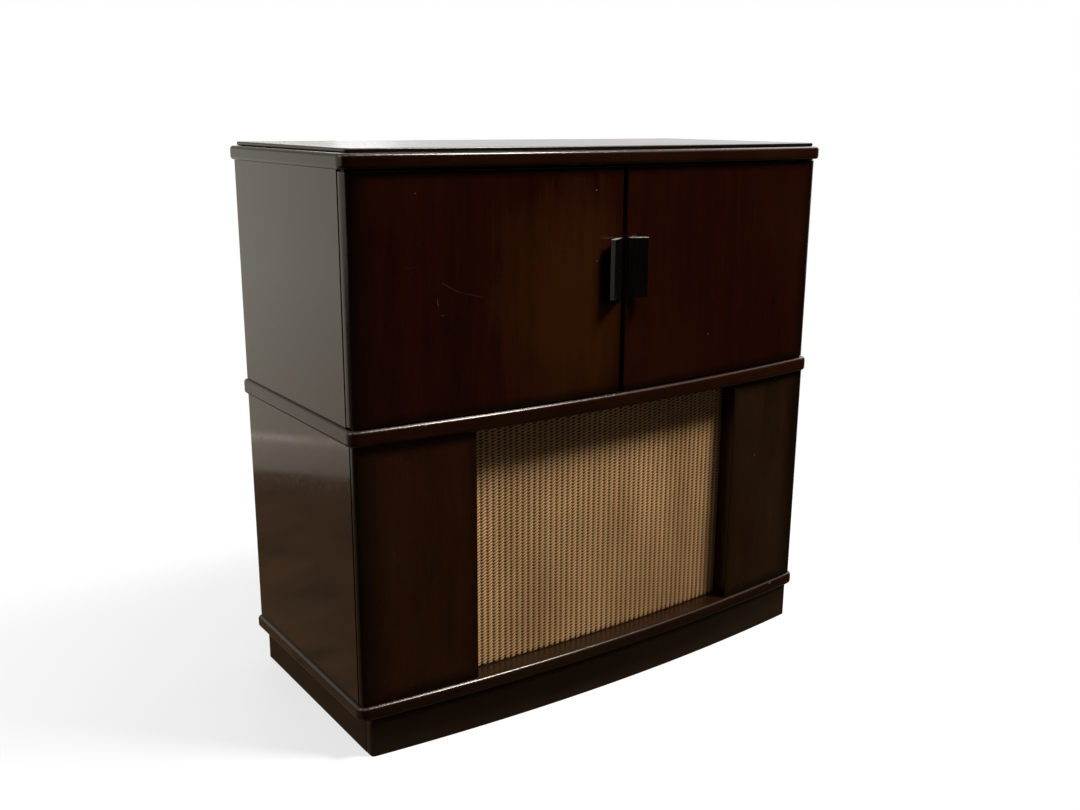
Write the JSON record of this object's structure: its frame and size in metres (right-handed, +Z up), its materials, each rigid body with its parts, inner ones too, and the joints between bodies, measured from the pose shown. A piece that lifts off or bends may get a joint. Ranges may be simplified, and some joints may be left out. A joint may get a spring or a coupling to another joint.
{
  "type": "gramophone cabinet",
  "caption": "Bow-fronted polished wood gramophone cabinet: hinged doors over a recessed ribbed loudspeaker cloth, with turntable deck, amplifier and record rack inside",
  "frame": {"origin": "on the floor at the middle of the footprint", "axes": "+X to the viewer's right of the front, -Y out of the front, +Z up"},
  "size_m": [1.013, 0.48, 0.9773],
  "materials": {
    "polished_mahogany": "polished dark red-brown mahogany veneer",
    "dark_mahogany": "stained, low sheen",
    "inner_veneer": "satin veneer",
    "plywood": "raw plywood",
    "hardboard": "raw brown hardboard",
    "grille_weave": "ribbed tan woven loudspeaker cloth",
    "black_bakelite": "glossy black moulding",
    "paper_cone": "black pressed paper",
    "bright_steel": "plain plated steel",
    "painted_steel": "dark grey paint",
    "brass": "plain brass",
    "cream_enamel": "cream stoving enamel on light alloy",
    "rubber": "matt black rubber",
    "valve_glass": "clear glass over a grey interior"
  },
  "bodies": {
    "cabinet": {"amplifier_chassis": "bright_steel", "baffle_board": "plywood", "base_board": "polished_mahogany", "centre_partition": "polished_mahogany", "control_fascia": "inner_veneer", "door_catch": "brass", "grille_cloth": "grille_weave", "grille_post_left": "polished_mahogany", "grille_post_right": "polished_mahogany", "left_lower_pivot": "brass", "left_upper_pivot": "brass", "lower_back_panel": "hardboard", "lower_front_left": "polished_mahogany", "lower_front_right": "polished_mahogany", "lower_side_left": "polished_mahogany", "lower_side_right": "polished_mahogany", "mains_inlet": "black_bakelite", "mains_transformer": "painted_steel", "middle_board": "polished_mahogany", "motor_board": "inner_veneer", "motor_board_rail": "plywood", "output_valve": "valve_glass", "platter_spindle": "bright_steel", "plinth_back": "dark_mahogany", "plinth_front": "dark_mahogany", "plinth_left": "dark_mahogany", "plinth_right": "dark_mahogany", "record_divider_1": "inner_veneer", "record_divider_2": "inner_veneer", "record_shelf": "inner_veneer", "rectifier_valve": "valve_glass", "right_lower_pivot": "brass", "right_upper_pivot": "brass", "speaker_basket": "painted_steel", "speaker_cone": "paper_cone", "speaker_magnet": "painted_steel", "tonearm_pillar": "bright_steel", "tonearm_rest": "bright_steel", "top_board": "polished_mahogany", "top_panel": "polished_mahogany", "turntable_motor": "painted_steel", "upper_back_panel": "hardboard", "upper_side_left": "polished_mahogany", "upper_side_right": "polished_mahogany"},
    "door_left": {"door_left": "polished_mahogany", "handle_left": "black_bakelite"},
    "door_right": {"door_right": "polished_mahogany", "handle_right": "black_bakelite"},
    "platter": {"platter": "cream_enamel", "platter_mat": "rubber"},
    "idler": {"idler_wheel": "rubber"},
    "motor_rotor": {"motor_pulley": "brass"},
    "tonearm_yoke": {"tonearm_yoke": "bright_steel"},
    "tonearm": {"tonearm": "cream_enamel", "pickup_head": "cream_enamel"},
    "speed_lever": {"speed_lever": "black_bakelite"},
    "volume_knob": {"volume_knob": "black_bakelite"},
    "tone_knob": {"tone_knob": "black_bakelite"},
    "mains_switch": {"mains_switch_lever": "bright_steel"}
  },
  "joints": [
    {"name": "door_left_hinge", "type": "hinge", "parent": "cabinet", "child": "door_left", "pos_m": [-0.492, -0.1765, 0.5606], "axis": [0, 0, -1], "range_deg": [0, 110]},
    {"name": "door_right_hinge", "type": "hinge", "parent": "cabinet", "child": "door_right", "pos_m": [0.492, -0.1765, 0.5606], "axis": [0, 0, 1], "range_deg": [0, 110]},
    {"name": "platter_spin", "type": "hinge", "parent": "cabinet", "child": "platter", "pos_m": [-0.291, 0.0486, 0.7223], "axis": [0, 0, -1], "continuous": true},
    {"name": "idler_spin", "type": "hinge", "parent": "cabinet", "child": "idler", "pos_m": [-0.37635, -0.03675, 0.7223], "axis": [0, 0, -1], "continuous": true},
    {"name": "motor_spin", "type": "hinge", "parent": "cabinet", "child": "motor_rotor", "pos_m": [-0.35775, -0.01815, 0.7223], "axis": [0, 0, -1], "continuous": true},
    {"name": "tonearm_swing", "type": "hinge", "parent": "cabinet", "child": "tonearm_yoke", "pos_m": [-0.073, 0.1566, 0.7223], "axis": [0, 0, -1], "range_deg": [0, 52]},
    {"name": "tonearm_lift", "type": "hinge", "parent": "tonearm_yoke", "child": "tonearm", "pos_m": [-0.073, 0.1566, 0.7663], "axis": [-1, 0, 0], "range_deg": [0, 20]},
    {"name": "speed_lever_turn", "type": "hinge", "parent": "cabinet", "child": "speed_lever", "pos_m": [-0.141, -0.0964, 0.7223], "axis": [0, 0, 1], "range_deg": [-25, 25]},
    {"name": "volume_turn", "type": "hinge", "parent": "cabinet", "child": "volume_knob", "pos_m": [-0.2423, -0.1335, 0.633], "axis": [0, 1, 0], "range_deg": [0, 280]},
    {"name": "tone_turn", "type": "hinge", "parent": "cabinet", "child": "tone_knob", "pos_m": [-0.1673, -0.1335, 0.633], "axis": [0, 1, 0], "range_deg": [-140, 140]},
    {"name": "mains_switch_throw", "type": "hinge", "parent": "cabinet", "child": "mains_switch", "pos_m": [-0.0923, -0.1335, 0.633], "axis": [-1, 0, 0], "range_deg": [0, 30]}
  ],
  "couplings": [
    {"joint": "idler_spin", "follows": "platter_spin", "ratio": 7.7222},
    {"joint": "motor_spin", "follows": "platter_spin", "ratio": -17.375}
  ]
}
